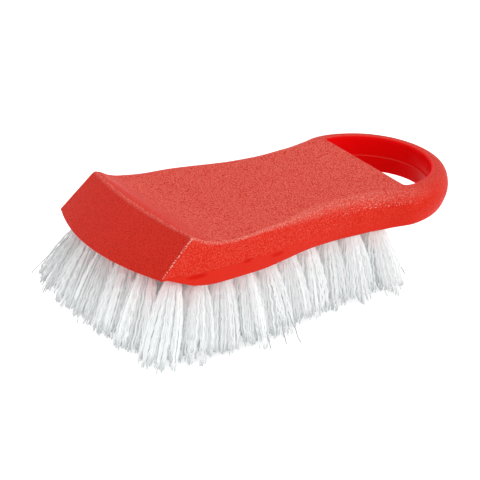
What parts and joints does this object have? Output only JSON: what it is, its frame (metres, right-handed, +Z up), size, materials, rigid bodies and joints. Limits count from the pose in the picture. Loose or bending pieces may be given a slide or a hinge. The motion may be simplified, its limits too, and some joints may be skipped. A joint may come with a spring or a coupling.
{
  "type": "cutting board brush",
  "caption": "Short scrub brush: moulded block with a slanted nose, a waisted neck and a D-shaped hanging loop, filled with splayed tufts of stiff white bristle.",
  "frame": {"origin": "centre of the brush's box, on the plane that the bristle tips stand on", "axes": "+X along the block towards the hanging loop, +Y across the block, +Z up from the tips to the block"},
  "size_m": [0.1532, 0.0966, 0.0465],
  "materials": {
    "block_polypropylene": "moulded, fine spark-eroded grain on the top and sides",
    "bristle_filament": "crimped white filament",
    "anchor_wire": "flat drawn wire"
  },
  "bodies": {
    "root": {"handle_block": "block_polypropylene", "tuft_row_01": "bristle_filament", "tuft_row_02": "bristle_filament", "tuft_row_03": "bristle_filament", "tuft_row_04": "bristle_filament", "tuft_row_05": "bristle_filament", "tuft_row_06": "bristle_filament", "tuft_row_07": "bristle_filament", "tuft_row_08": "bristle_filament", "tuft_row_09": "bristle_filament", "tuft_row_10": "bristle_filament", "anchor_01_1": "anchor_wire", "anchor_01_2": "anchor_wire", "anchor_01_3": "anchor_wire", "anchor_01_4": "anchor_wire", "anchor_01_5": "anchor_wire", "anchor_01_6": "anchor_wire", "anchor_02_1": "anchor_wire", "anchor_02_2": "anchor_wire", "anchor_02_3": "anchor_wire", "anchor_02_4": "anchor_wire", "anchor_02_5": "anchor_wire", "anchor_02_6": "anchor_wire", "anchor_03_1": "anchor_wire", "anchor_03_2": "anchor_wire", "anchor_03_3": "anchor_wire", "anchor_03_4": "anchor_wire", "anchor_03_5": "anchor_wire", "anchor_03_6": "anchor_wire", "anchor_04_1": "anchor_wire", "anchor_04_2": "anchor_wire", "anchor_04_3": "anchor_wire", "anchor_04_4": "anchor_wire", "anchor_04_5": "anchor_wire", "anchor_05_1": "anchor_wire", "anchor_05_2": "anchor_wire", "anchor_05_3": "anchor_wire", "anchor_05_4": "anchor_wire", "anchor_05_5": "anchor_wire", "anchor_06_1": "anchor_wire", "anchor_06_2": "anchor_wire", "anchor_06_3": "anchor_wire", "anchor_06_4": "anchor_wire", "anchor_06_5": "anchor_wire", "anchor_07_1": "anchor_wire", "anchor_07_2": "anchor_wire", "anchor_07_3": "anchor_wire", "anchor_07_4": "anchor_wire", "anchor_08_1": "anchor_wire", "anchor_08_2": "anchor_wire", "anchor_08_3": "anchor_wire", "anchor_08_4": "anchor_wire", "anchor_09_1": "anchor_wire", "anchor_09_2": "anchor_wire", "anchor_09_3": "anchor_wire", "anchor_09_4": "anchor_wire", "anchor_10_1": "anchor_wire", "anchor_10_2": "anchor_wire", "anchor_10_3": "anchor_wire", "anchor_10_4": "anchor_wire"}
  },
  "joints": []
}
